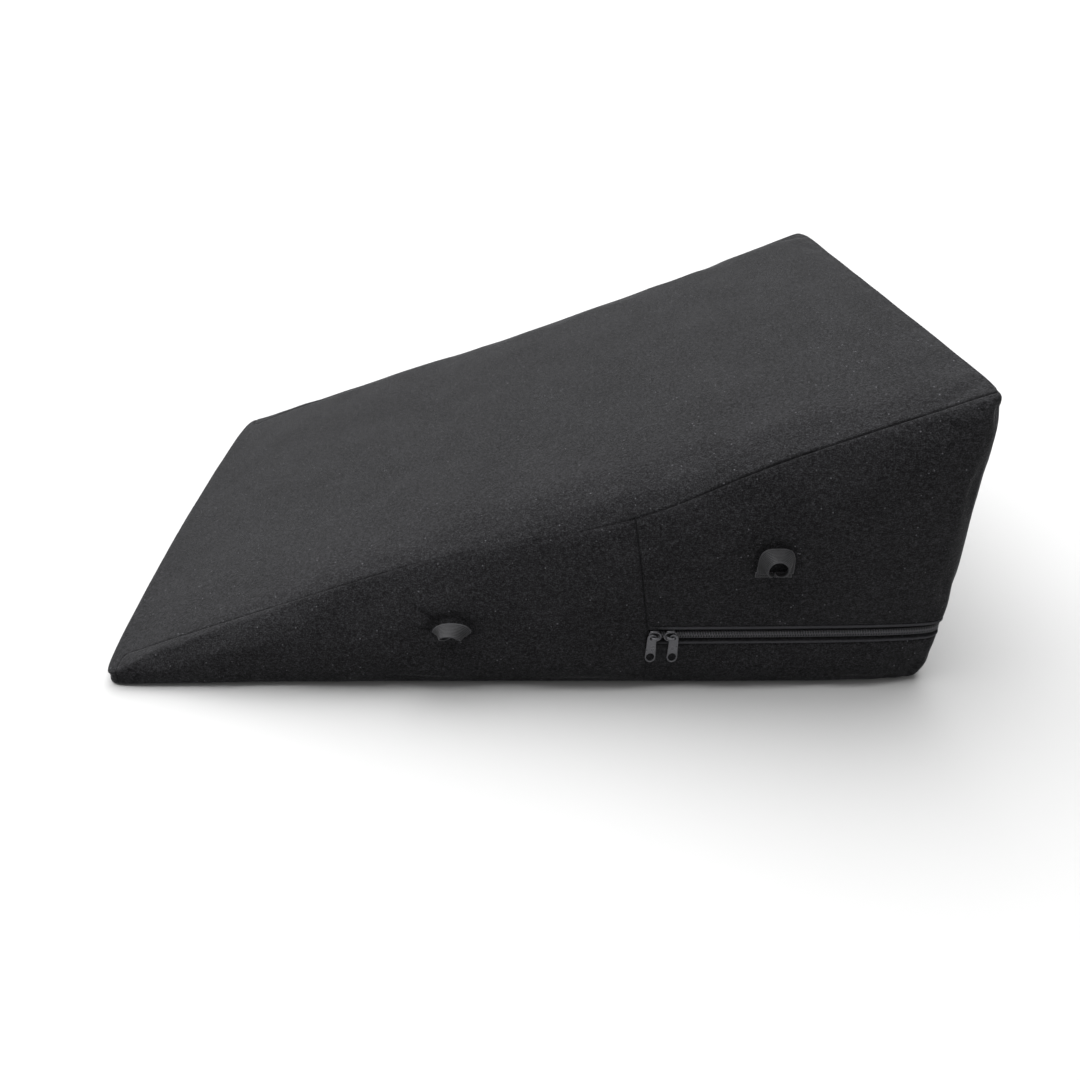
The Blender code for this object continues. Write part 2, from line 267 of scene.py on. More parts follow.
# Camera, lights and floor
CAMERA_PLACE = (-0.01467, -0.74547, 0.44184)
CAMERA_PITCH = math.radians(26.39)
CAMERA_LENS = 31.47
CAMERA_SHIFT = (0.03912, -0.07607)
FLOOR_REACH = 90.0
FLOOR_DROP = 0.0002
KEY_FROM = (-0.30, 0.45, 1.0)
KEY_ANGLE = math.radians(90)
KEY_STRENGTH = 7.9
FRONT_FROM = (-0.9, -2.0, 1.0)
FRONT_TARGET = (0, 0, 0.1)
FRONT_SIZE = (1.8, 1.2)
FRONT_POWER = 0.6
WORLD_OVERHEAD = 0.45
WORLD_FADE = (0.02, 0.30)

SNAP = 0.00005
ROOT_TWO = math.sqrt(2)
UP = Vector((0, 0, 1))
SLANTED = Vector((0.31, 0.77, 0.55))


def smooth_step(low, high, value):
    """0 below low, 1 above high, and a smooth rise between."""
    share = min(1.0, max(0.0, (value - low) / (high - low)))
    return share * share * (3 - 2 * share)


def bell(value, width):
    """1 at zero, falling off smoothly over the width on both sides."""
    return math.exp(-(value / width) ** 2)


def linked(name, data):
    """New object of the scene."""
    made = bpy.data.objects.new(name, data)
    bpy.context.scene.collection.objects.link(made)
    return made


def object_of(name, verts, faces, smooth=True):
    """Mesh object from points and faces."""
    mesh = bpy.data.meshes.new(name)
    mesh.from_pydata([tuple(v) for v in verts], [], faces)
    mesh.validate()
    if smooth:
        mesh.shade_smooth()
    return linked(name, mesh)


def evaluated_mesh(thing):
    """New mesh of an object as its modifiers give it."""
    bpy.context.view_layer.update()
    return bpy.data.meshes.new_from_object(thing.evaluated_get(bpy.context.evaluated_depsgraph_get()))


def subdivided(thing, levels):
    """Smooth a mesh object by subdivision and apply it."""
    modifier = thing.modifiers.new("smooth", "SUBSURF")
    modifier.levels = levels
    modifier.render_levels = levels
    mesh = evaluated_mesh(thing)
    old = thing.data
    thing.modifiers.clear()
    thing.data = mesh
    mesh.name = thing.name
    mesh.shade_smooth()
    bpy.data.meshes.remove(old)
    return thing


# Shape of the cushion


def round_heel_corner(x, y, radius):
    """Keep a point of the plan inside the heel's rounded corner."""
    centre_x = HEEL_X - radius
    centre_y = WIDTH / 2 - radius
    reach_x = x - centre_x
    reach_y = abs(y) - centre_y
    if reach_x <= 0 or reach_y <= 0:
        return x, y
    shrink = min(1.0, radius / math.hypot(reach_x, reach_y))
    return centre_x + reach_x * shrink, math.copysign(centre_y + reach_y * shrink, y)


def in_flat_base(i, j, k):
    """Whether a corner of the cage belongs to the flat that the cushion stands on."""
    return k == 0 and 0 < i < len(SECTIONS) - 1 and 0 < j < ROWS_ACROSS


def base_sides(i, j, k):
    """Sides of the flat base that a corner of the cage lies on."""
    if not in_flat_base(i, j, k):
        return set()
    places = {"toe": i == 1, "heel": i == len(SECTIONS) - 2, "near": j == 1, "far": j == ROWS_ACROSS - 1}
    return {side for side, here in places.items() if here}


def cage_point(i, j, k):
    """Corner of the cage at section i, row j across and level k up."""
    share, extra_height, extra_width, roll = SECTIONS[i]
    level, level_share, corner_radius = LEVELS[k]
    top = len(LEVELS) - 1
    outer = ROWS_ACROSS // 2
    side = j - outer
    crown = 1 - (side / outer) ** 2
    height = TOE_HEIGHT + (HEIGHT - TOE_HEIGHT) * share
    if k == top:
        z = height + extra_height * crown
    elif in_flat_base(i, j, k):
        z = 0.0
    elif level is None:
        z = max(height - roll, level_share * height)
    else:
        z = min(level, level_share * height)
    half = WIDTH / 2
    if 0 < k < top:
        half += extra_width
    edge_roll = BASE_ROLL + (roll - BASE_ROLL) * k / top
    y = (0.0, INNER_ROW * half, half - edge_roll, half)[abs(side)]
    x = TOE_X + (HEEL_X - TOE_X) * share
    x, y = round_heel_corner(x, math.copysign(y, side), corner_radius)
    if i == 0:
        x -= TOE_BOW * crown
    if i == len(SECTIONS) - 1:
        x += HEEL_BOW * crown * (1 - (2 * k / top - 1) ** 2)
    return Vector((x, y, z))


def grid_place(vert):
    """Section, row and level of a cage corner that still stands on its grid of whole numbers."""
    return tuple(round(c) for c in vert.co)


def foam_wedge(name, levels):
    """Smooth wedge from the cage, with its base kept flat."""
    counts = (len(SECTIONS) - 1, ROWS_ACROSS, len(LEVELS) - 1)
    bm = bmesh.new()
    bmesh.ops.create_cube(bm, size=1.0)
    for vert in bm.verts:
        vert.co = Vector([(vert.co[a] + 0.5) * counts[a] for a in range(3)])
    for axis in range(3):
        normal = Vector([float(axis == a) for a in range(3)])
        for step in range(1, counts[axis]):
            geometry = bm.verts[:] + bm.edges[:] + bm.faces[:]
            bmesh.ops.bisect_plane(bm, geom=geometry, plane_co=normal * step, plane_no=normal)
    edge_crease = bm.edges.layers.float.new("crease_edge")
    corner_crease = bm.verts.layers.float.new("crease_vert")
    for edge in bm.edges:
        first, second = (base_sides(*grid_place(vert)) for vert in edge.verts)
        edge[edge_crease] = float(bool(first & second))
    for vert in bm.verts:
        vert[corner_crease] = float(len(base_sides(*grid_place(vert))) == 2)
    for vert in bm.verts:
        vert.co = cage_point(*grid_place(vert))
    mesh = bpy.data.meshes.new(name)
    bm.to_mesh(mesh)
    bm.free()
    mesh.shade_smooth()
    return subdivided(linked(name, mesh), levels)


def search_tree(thing):
    """Search tree of an object's mesh, for finding its surface."""
    points = [v.co.copy() for v in thing.data.vertices]
    return BVHTree.FromPolygons(points, [p.vertices[:] for p in thing.data.polygons])


def side_reach(surface, x, z):
    """Distance of the cushion's long sides from the middle plane at x and z."""
    hit = surface.ray_cast(Vector((x, -WIDTH, z)), Vector((0, 1, 0)))[0]
    return -hit.y


def section_height(x):
    """Height of the wedge's top edge at x."""
    return TOE_HEIGHT + (HEIGHT - TOE_HEIGHT) * (x - TOE_X) / (HEEL_X - TOE_X)


# Lines on the cover


def smooth_least(first, second, blend=0.004):
    """The smaller of two values, with a rounded change from one to the other."""
    share = min(1.0, max(0.0, 0.5 + 0.5 * (second - first) / blend))
    return second + (first - second) * share - blend * share * (1 - share)


def seam_reach(x):
    """How far out on the shoulder the top panel's seam lies at x."""
    rise = smooth_step(SEAM_RISES_FROM, SEAM_RISES_TO, x)
    dip = bell(x - SEAM_DIP_X, SEAM_DIP_WIDTH)
    return SEAM_REACH_FRONT + (SEAM_REACH_REAR - SEAM_REACH_FRONT) * rise + SEAM_DIP * dip


def top_seam(p):
    """Distance from the seam round the top panel, positive on the panel, which wraps down over the toe."""
    side = (p.z - abs(p.y) - section_height(p.x) + seam_reach(p.x)) / ROOT_TWO
    heel = (p.z - p.x - HEEL_SEAM) / ROOT_TWO
    over_toe = TOE_SEAM_X - p.x
    return -smooth_least(-smooth_least(side, heel), -over_toe)


def near_top_seam(p):
    """Where the seam round the top panel can run."""
    return p.z > TOP_SEAM_FLOOR and (abs(p.y) > SHOULDER_FROM or p.x > HEEL_FROM)


def base_seam(p):
    """Distance from the seam round the base, positive on the sides."""
    return p.z - BASE_SEAM_Z


def near_base_seam(p):
    """Where the seam round the base can run."""
    return p.z < BASE_SEAM_BAND


def upright_seam(p):
    """Distance from the upright seam that runs through the zip's end on both long sides."""
    return p.x - ZIP_START + UPRIGHT_LEAN * max(0.0, p.z - ZIP_LEVEL)


def near_upright_seam(p):
    """Where the upright seam can run: on the sides, clear of the zip's lips."""
    on_side = abs(p.y) > SIDE_FROM and abs(p.x - UPRIGHT_X) < UPRIGHT_BAND
    return on_side and lip_distance(p) > LIP_CLEAR and p.z > BASE_SEAM_Z and top_seam(p) < 0.001


def lip_distance(p):
    """Distance outside the channel of the zip, negative in it."""
    return abs(p.z - ZIP_LEVEL) - CHANNEL_HEIGHT / 2


def near_lips(p):
    """Where the zip's channel and lips can run."""
    return abs(p.z - ZIP_LEVEL) < ZIP_BAND and p.x > ZIP_START - 0.006


def zip_end(p):
    """Distance from the ends of the channel, positive along the zip."""
    return p.x - ZIP_START


def near_zip_end(p):
    """The cover round the ends of the channel."""
    return abs(p.z - ZIP_LEVEL) < 0.012 and abs(p.x - ZIP_START) < 0.01


def cut_along(bm, field, near, level):
    """Cut the cover along the line on which a field has one value."""
    value = {}
    for vert in bm.verts:
        if near(vert.co):
            value[vert] = field(vert.co) - level
    touched = [vert for vert, here in value.items() if abs(here) < SNAP]
    crossed = []
    for edge in bm.edges:
        first, second = edge.verts
        if first not in value or second not in value:
            continue
        if min(abs(value[first]), abs(value[second])) < SNAP or value[first] * value[second] > 0:
            continue
        crossed.append((edge, first, value[first] / (value[first] - value[second])))
    for edge, first, share in crossed:
        touched.append(bmesh.utils.edge_split(edge, first, share)[1])
    bmesh.ops.connect_verts(bm, verts=touched)


def refine_near(bm, centre, radius, cuts):
    """Split the faces near a point more finely."""
    edges = [e for e in bm.edges if all((v.co - centre).length < radius for v in e.verts)]
    bmesh.ops.subdivide_edges(bm, edges=edges, cuts=cuts, use_grid_fill=True)


# Cloth: the cover settles over the foam


def fitting_distance(p):
    """Distance of a point from what is sewn to the cover, which holds it in place there."""
    if abs(p.y) < SIDE_FROM and p.x < HEEL_FROM:
        nearest = FREE_FROM
    elif p.x > ZIP_START - 0.010:
        nearest = abs(p.z - ZIP_LEVEL) - 0.006
    else:
        nearest = math.hypot(p.x - ZIP_START, p.z - ZIP_LEVEL)
    for _, x, z, half, height, *_ in LOOPS:
        if abs(p.y) > LOOP_SIDE_FROM:
            nearest = min(nearest, math.hypot(p.x - x, p.z - z - height / 2) - half)
    return max(0.0, nearest)


def settle_cover(body):
    """Blow the cover out a little between its seams and fittings, by cloth simulation."""
    start = [v.co.copy() for v in body.data.vertices]
    held = body.vertex_groups.new(name="held")
    for index, point in enumerate(start):
        on_seam = bell(top_seam(point), 0.004) if near_top_seam(point) else 0.0
        on_base = 1.0 - smooth_step(0.0005, 0.004, point.z)
        on_fitting = 1.0 - smooth_step(HELD_NEAR / 2, HELD_NEAR, fitting_distance(point))
        held.add([index], max(on_seam, on_base, on_fitting), "REPLACE")
    cloth = body.modifiers.new("cover", "CLOTH")
    cloth.settings.quality = 6
    cloth.settings.mass = 0.25
    cloth.settings.tension_stiffness = 18
    cloth.settings.compression_stiffness = 10
    cloth.settings.shear_stiffness = 6
    cloth.settings.bending_stiffness = 0.4
    cloth.settings.shrink_min = COVER_SHRINK
    cloth.settings.use_pressure = True
    cloth.settings.uniform_pressure_force = COVER_PRESSURE
    cloth.settings.vertex_group_mass = "held"
    cloth.settings.effector_weights.gravity = 0.0
    cloth.collision_settings.use_collision = False
    cloth.point_cache.frame_start = 1
    cloth.point_cache.frame_end = COVER_FRAMES
    for step in range(1, COVER_FRAMES + 1):
        bpy.context.scene.frame_set(step)
    evaluated = body.evaluated_get(bpy.context.evaluated_depsgraph_get())
    moved = [v.co.copy() for v in evaluated.data.vertices]
    body.modifiers.clear()
    body.vertex_groups.clear()
    bpy.context.scene.frame_set(1)
    for vert, old, new in zip(body.data.vertices, start, moved):
        free = smooth_step(0.0, FREE_FROM, fitting_distance(old)) * smooth_step(0.0, 0.010, old.z)
        free *= smooth_step(TOE_X, TOE_X + TOE_STIFF, old.x)
        step = new - old
        limit = COVER_CAP * free
        if step.length > limit:
            step = step.normalized() * limit
        vert.co = old + step


# Relief of the cover


def lip_relief(p):
    """How far the zip's channel and lips stand off the cover at a point."""
    gate = smooth_step(-LIP_STEP, LIP_STEP, zip_end(p))
    if gate == 0.0 or abs(p.z - ZIP_LEVEL) > ZIP_BAND:
        return 0.0
    off = lip_distance(p)
    if off < 0:
        return -gate * (CHANNEL_DEPTH * smooth_step(0.0, LIP_STEP, -off) + LIP_ROOT)
    width = LIP_UPPER if p.z > ZIP_LEVEL else LIP_LOWER
    fade = smooth_step(0.0, 0.004, zip_end(p))
    share = off / width
    if share < 1:
        rounded = math.sin(math.pi * (0.12 + 0.88 * share)) ** 0.7
        return fade * (LIP_PROUD * rounded - LIP_ROOT * (1 - smooth_step(0.0, 0.2, share)))
    return -LIP_CREASE * fade * bell(off - width - LIP_CREASE_OFF, LIP_CREASE_WIDTH)


def top_seam_strength(x):
    """How deep the top panel's seam is pulled at x; it fades out half way along."""
    fade = 1.0 - SEAM_FADE * bell(x - SEAM_FADE_X, SEAM_FADE_WIDTH)
    return fade * (0.60 + 0.40 * smooth_step(-0.10, 0.15, x))


def seam_shade_share(p):
    """How much of the seams' painted shade a point gets."""
    share = 0.0
    if near_top_seam(p):
        share = top_seam_strength(p.x) * bell(top_seam(p), SEAM_WIDTH)
    if near_upright_seam(p):
        share = max(share, 0.8 * bell(upright_seam(p), SEAM_WIDTH))
    return share


def fold_highlight_share(p):
    """How much painted highlight a point gets on the folded lips of the zip."""
    off = lip_distance(p)
    width = LIP_UPPER if p.z > ZIP_LEVEL else LIP_LOWER
    inside = smooth_step(-LIP_STEP, 2 * LIP_STEP, off)
    inside *= 1.0 - smooth_step(width - 3 * LIP_STEP, width + LIP_STEP, off)
    start = FOLD_HIGHLIGHT_FROM_UPPER if p.z > ZIP_LEVEL else FOLD_HIGHLIGHT_FROM_LOWER
    return inside * smooth_step(start, start + 0.004, zip_end(p))


def seam_relief(distance, strength):
    """Stitched-in valley with the cover's puff on both sides of it."""
    valley = -SEAM_DEPTH * bell(distance, SEAM_WIDTH)
    puff = SEAM_PUFF * bell(abs(distance) - PUFF_OFF, PUFF_WIDTH)
    return strength * (valley + puff)


def pucker_relief(p):
    """Short creases where the sewing pulls the cover, at the loops' sewn ends and at the heel's corner."""
    total = 0.0
    for x0, z0, x1, z1, depth in PUCKERS:
        length = math.hypot(x1 - x0, z1 - z0)
        run_x, run_z = (x1 - x0) / length, (z1 - z0) / length
        along = (p.x - x0) * run_x + (p.z - z0) * run_z
        across = (p.x - x0) * run_z - (p.z - z0) * run_x
        if -0.006 < along < length + 0.012:
            fade = smooth_step(-0.005, 0.001, along) * (1 - smooth_step(0.0, length + 0.010, along))
            sides = bell(abs(across) - PUCKER_SIDE_OFF, PUCKER_SIDE_WIDTH)
            total += fade * depth * (0.5 * sides - bell(across, PUCKER_WIDTH))
    return total


def loop_dent(p):
    """Hollow that the arch of a loop presses into the cover over it."""
    total = 0.0
    for name, x, z, half, height, *_ in LOOPS:
        sewn = SEWN_HEIGHT[name]
        up = p.z - z - sewn
        off = (math.hypot((p.x - x) / half, max(0.0, up) / (height - sewn)) - 1) * height
        total -= DENT_DEPTH[name] * bell(off - DENT_OFF, DENT_WIDTH) * smooth_step(-0.004, 0.004, up)
    return total


def cover_relief(p, normal):
    """Offset of a point of the cover."""
    outward = Vector((normal.x, normal.y, 0.0))
    outward = outward.normalized() if outward.length > 0.2 else normal
    offset = outward * lip_relief(p)
    along = 0.0
    if near_top_seam(p):
        stitch = 0.85 + 0.15 * math.sin(2 * math.pi * p.x / TOP_STITCH_PITCH)
        along += seam_relief(top_seam(p), top_seam_strength(p.x) * stitch)
    if near_base_seam(p):
        raised = smooth_step(0.0002, 0.0010, p.z) * smooth_step(-0.280, -0.230, p.x)
        along += seam_relief(base_seam(p), raised)
    if near_upright_seam(p):
        ends = smooth_step(LIP_CLEAR, 0.004, lip_distance(p)) * smooth_step(0.0, 0.004, p.z - BASE_SEAM_Z)
        below = 0.4 if p.z < ZIP_LEVEL else 1.0
        along += seam_relief(upright_seam(p), 0.95 * ends * below)
    if abs(p.y) > LOOP_SIDE_FROM:
        along += pucker_relief(p) + loop_dent(p)
    free = smooth_step(0.0, 0.030, fitting_distance(p)) * smooth_step(0.0005, 0.015, p.z)
    broad = noise.noise(p * BROAD_SCALE) * BROAD_WAVE
    short = noise.noise(p * SHORT_SCALE + Vector((5, 3, 1))) * SHORT_WAVE
    return offset + normal * (along + (broad + short) * free)


def lean_in(p):
    """Move of a point of the foam towards the middle: the tight cover presses the thin upper edges in."""
    reach = LEAN_IN * (1.0 - smooth_step(-0.12, 0.20, p.x))
    high = smooth_step(LEAN_IN_FROM, 1.0, p.z / section_height(p.x))
    side = smooth_step(0.160, 0.215, abs(p.y))
    clear = smooth_step(TOE_X, TOE_X + 0.035, p.x) * (1.0 - smooth_step(0.25, HEEL_X, p.x))
    return -math.copysign(reach * high * side * clear, p.y)


def rounded_edge(p):
    """Rise of a point of the foam: the upper long edges roll over in a soft round, fuller just inside it."""
    growth = smooth_step(EDGE_GROWS_FROM, EDGE_FULL_FROM, p.x)
    radius = EDGE_RADIUS_TOE + (EDGE_RADIUS - EDGE_RADIUS_TOE) * growth
    share = min(EDGE_SHARE_MOST, max(0.0, (abs(p.y) - EDGE_OUTSIDE + radius) / radius))
    drop = radius * (1 - math.sqrt(1 - share * share))
    lift = EDGE_LIFT * smooth_step(0.05, 0.15, abs(p.y))
    high = smooth_step(0.45, 0.95, p.z / section_height(p.x))
    clear = smooth_step(TOE_X, TOE_X + 0.05, p.x) * (1.0 - smooth_step(EDGE_FULL_UNTIL, HEEL_X, p.x))
    return (lift - drop) * high * clear


def rounded_corner(p):
    """Move of a point of the foam away from the sharp upper corners of the heel."""
    total = Vector()
    for side in (-1, 1):
        corner = Vector((HEEL_X, side * WIDTH / 2, HEIGHT))
        total += CORNER_PRESS * bell((p - corner).length, CORNER_REACH) * Vector((-1, -side, -1)).normalized()
    return total


def cushion(surface_finish):
    """Foam wedge in its fitted cover, one padded piece."""
    body = foam_wedge("cushion_cover", 3)
    for vert in body.data.vertices:
        vert.co += rounded_corner(vert.co) + Vector((0.0, lean_in(vert.co), rounded_edge(vert.co)))
    settle_cover(body)
    subdivided(body, 1)
    bm = bmesh.new()
    bm.from_mesh(body.data)
    for _, x, z, _, height, *_ in LOOPS:
        for side in (-1, 1):
            refine_near(bm, Vector((x, side * SIDE_MIDDLE, z + height / 2)), 0.040, 3)
    for level in SEAM_CUTS:
        cut_along(bm, top_seam, near_top_seam, level)
        cut_along(bm, base_seam, near_base_seam, level)
        cut_along(bm, upright_seam, near_upright_seam, level)
    for level in LIP_CUTS:
        cut_along(bm, lip_distance, near_lips, level)
    for level in ZIP_END_CUTS:
        cut_along(bm, zip_end, near_zip_end, level)
    bm.normal_update()
    # Painted highlight: share of the lighter colour on the zip's folded lips.
    fold_highlight = bm.verts.layers.float.new("fold_highlight")
    # Painted shade: share of the darker colour in the seams' valleys.
    sewn = bm.verts.layers.float.new("sewn")
    offsets = [(vert, cover_relief(vert.co, vert.normal)) for vert in bm.verts]
    for vert, offset in offsets:
        vert[fold_highlight] = fold_highlight_share(vert.co)
        vert[sewn] = seam_shade_share(vert.co)
        vert.co += offset
        vert.co.z = max(0.0, vert.co.z)
    bm.to_mesh(body.data)
    bm.free()
    body.data.shade_smooth()
    finish_piece(body, surface_finish, "cover", "cushion")
    return body


# Zip


def zip_path(surface, inset, step):
    """Evenly spaced points and outward directions along the zip, set in from the cushion's surface."""
    start = ZIP_START + GAP
    centre_x = HEEL_X - CORNER_RADIUS
    centre_y = WIDTH / 2 - CORNER_RADIUS
    along, round_corner, across = 30, 24, 30
    guide = [(start + (centre_x - start) * n / along, -WIDTH / 2, 0.0) for n in range(along)]
    for n in range(round_corner + 1):
        turn = math.pi / 2 * n / round_corner
        out_x, out_y = math.sin(turn), -math.cos(turn)
        guide.append((centre_x + CORNER_RADIUS * out_x, CORNER_RADIUS * out_y - centre_y, turn))
    guide += [(HEEL_X, centre_y * (n / across - 1), math.pi / 2) for n in range(1, across + 1)]
    guide += [(x, -y, math.pi - turn) for x, y, turn in reversed(guide[:-1])]
    points = []
    for x, y, turn in guide:
        outward = Vector((math.sin(turn), -math.cos(turn), 0))
        hit = surface.ray_cast(Vector((x, y, ZIP_LEVEL)) + outward * WIDTH, -outward)[0]
        points.append((hit - outward * inset, outward))
    spaced = []
    left = 0.0
    for (a, out_a), (b, out_b) in zip(points, points[1:]):
        length = (b - a).length
        while left < length:
            share = left / length
            spaced.append((a.lerp(b, share), out_a.lerp(out_b, share).normalized()))
            left += step
        left -= length
    return spaced


def skin(rows, ring, capped=True):
    """Faces of a tube whose points are rows of rings."""
    faces = []
    for row in range(rows - 1):
        for spot in range(ring):
            here = row * ring + spot
            beside = row * ring + (spot + 1) % ring
            faces.append((here, beside, beside + ring, here + ring))
    if capped:
        faces.append(tuple(reversed(range(ring))))
        faces.append(tuple(range((rows - 1) * ring, rows * ring)))
    return faces


def round_skin(rows, ring, left_open=()):
    """Faces of a closed bead whose points are rows of rings, but for the rows that stay open."""
    faces = []
    for row in range(rows):
        if row in left_open:
            continue
        here, after = row * ring, (row + 1) % rows * ring
        for spot in range(ring):
            beside = (spot + 1) % ring
            faces.append((here + spot, after + spot, after + beside, here + beside))
    return faces


def tube_mesh(points, radius, sides, guide=None):
    """Points and faces of a round tube along a line; a guide keeps its rings from turning."""
    verts = []
    last_side = None
    for n, point in enumerate(points):
        ahead = (points[min(n + 1, len(points) - 1)] - points[max(n - 1, 0)]).normalized()
        across = guide or last_side or SLANTED
        across = (across - ahead * across.dot(ahead)).normalized()
        last_side = across
        other = ahead.cross(across)
        for s in range(sides):
            turn = 2 * math.pi * s / sides
            verts.append(point + (across * math.cos(turn) + other * math.sin(turn)) * radius)
    return verts, skin(len(points), sides)


def joined_tubes(name, tubes):
    """One object from several tubes' points and faces."""
    verts, faces = [], []
    for tube_verts, tube_faces in tubes:
        base = len(verts)
        verts += tube_verts
        faces += [tuple(i + base for i in face) for face in tube_faces]
    return object_of(name, verts, faces)


def zip_coil(surface, finish):
    """Closed chain: two coils of wire that interlock along the middle."""
    inset = CHANNEL_DEPTH - GAP - TAPE_THICKNESS - GAP - COIL_THICKNESS / 2 - COIL_FORWARD
    path = zip_path(surface, inset, COIL_PITCH / COIL_STEPS)
    deep = COIL_THICKNESS / 2 - COIL_WIRE
    high = COIL_HEIGHT / 2 - COIL_WIRE
    middle = (high - COIL_OVERLAP) / 2
    tubes, unshaded_crests = [], []
    for side in (1, -1):
        points = []
        for n, (point, outward) in enumerate(path):
            turn = 2 * math.pi * (n / COIL_STEPS + (0.5 if side < 0 else 0.0))
            rise = side * (middle + (high - middle) * math.cos(turn))
            points.append(point + outward * deep * math.sin(turn) + UP * rise)
            # Painted shade: the back of each turn, towards the tape, is marked for a near-black colour.
            unshaded_crests += [smooth_step(0.1, 0.9, math.sin(turn))] * COIL_SIDES
        tubes.append(tube_mesh(points, COIL_WIRE, COIL_SIDES, UP))
    coil = joined_tubes("zip_coil_turns", tubes)
    coil.data.attributes.new("unshaded_crest", "FLOAT", "POINT").data.foreach_set("value", unshaded_crests)
    finish_piece(coil, finish, "zip_coil", "zip_coil")
    return coil


def coil_thread(surface, finish):
    """Rows of sewing thread that hold the coils to the tape."""
    inset = CHANNEL_DEPTH - GAP - TAPE_THICKNESS - GAP - COIL_THICKNESS - COIL_FORWARD
    path = zip_path(surface, inset, COIL_PITCH / THREAD_STEPS)
    tubes = []
    for side in (1, -1):
        points = []
        for n, (point, outward) in enumerate(path):
            dip = THREAD_DIP * (0.5 + 0.5 * math.cos(2 * math.pi * n / THREAD_STEPS))
            points.append(point - outward * dip + UP * side * THREAD_LEVEL)
        tubes.append(tube_mesh(points, THREAD_RADIUS, 4, UP))
    thread = joined_tubes("zip_thread", tubes)
    finish_piece(thread, finish, "zip_tape")
    return thread


def zip_tape(surface, finish):
    """Woven tape at the back of the channel."""
    inset = CHANNEL_DEPTH - GAP - TAPE_THICKNESS / 2
    path = zip_path(surface, inset, TAPE_STEP)
    height = CHANNEL_HEIGHT - 2 * GAP
    verts = []
    for point, outward in path:
        for face_side in (1, -1):
            for r in range(TAPE_ROWS + 1):
                rise = height * (r / TAPE_ROWS - 0.5) * face_side
                edge = smooth_step(0.0, TAPE_EDGE, height / 2 - abs(rise))
                reach = face_side * TAPE_THICKNESS / 2 * (0.55 + 0.45 * edge)
                verts.append(point + outward * reach + UP * rise)
    faces = [tuple(reversed(face)) for face in skin(len(path), 2 * (TAPE_ROWS + 1))]
    tape = object_of("zip_tape_cloth", verts, faces)
    finish_piece(tape, finish, "zip_tape", "zip_tape")
    return tape


def arc_points(centre, radius, start, end, steps):
    """Points of an arc in a plane."""
    points = []
    for n in range(steps + 1):
        turn = start + (end - start) * n / steps
        points.append((centre[0] + radius * math.cos(turn), centre[1] + radius * math.sin(turn)))
    return points


def flat_plate(name, rings, thickness, rounding):
    """Object of a flat plate with holes, cut from rings of points in the XY plane."""
    data = bpy.data.curves.new(name, "CURVE")
    data.dimensions = "2D"
    data.fill_mode = "BOTH"
    data.extrude = thickness / 2 - rounding
    data.bevel_depth = rounding
    data.bevel_resolution = 2
    data.offset = -rounding
    for ring in rings:
        spline = data.splines.new("POLY")
        spline.use_cyclic_u = True
        spline.points.add(len(ring) - 1)
        for point, (px, py) in zip(spline.points, ring):
            point.co = (px, py, 0.0, 1.0)
    return linked(name, data)


def rim_tube(ring, height, radius, sides=8):
    """Closed round bead along a ring of points, at a height over its plane."""
    points = [Vector((px, py, height)) for px, py in ring]
    verts = []
    count = len(points)
    for n, point in enumerate(points):
        ahead = (points[(n + 1) % count] - points[n - 1]).normalized()
        across = Vector((ahead.y, -ahead.x, 0.0))
        for s in range(sides):
            turn = 2 * math.pi * s / sides
            verts.append(point + (across * math.cos(turn) + UP * math.sin(turn)) * radius)
    return verts, round_skin(count, sides)


def mesh_of(thing):
    """Points and faces of an object, which is then removed."""
    mesh = evaluated_mesh(thing)
    verts = [v.co.copy() for v in mesh.vertices]
    faces = [tuple(p.vertices) for p in mesh.polygons]
    bpy.data.meshes.remove(mesh)
    bpy.data.objects.remove(thing)
    return verts, faces


def inset_ring(ring, distance):
    """Ring of points moved inwards by a distance."""
    made = []
    count = len(ring)
    for n, (px, py) in enumerate(ring):
        before, after = ring[n - 1], ring[(n + 1) % count]
        along = Vector((after[0] - before[0], after[1] - before[1])).normalized()
        made.append((px - along.y * distance, py + along.x * distance))
    return made


def placed(parts, stand):
    """Several meshes with their points carried by one function of place."""
    return [([stand(v) for v in verts], faces) for verts, faces in parts]


def bridge_leg(x, facing):
    """Place along the zip of the bridge's outer leg, where the pull hangs."""
    return x - facing * (SLIDER_LENGTH / 2 - BRIDGE_INSET)


def stretched_ring(points):
    """Round end of a pull, stretched along it."""
    return [(x, -PULL_LENGTH + (y + PULL_LENGTH) * PULL_END_STRETCH) for x, y in points]


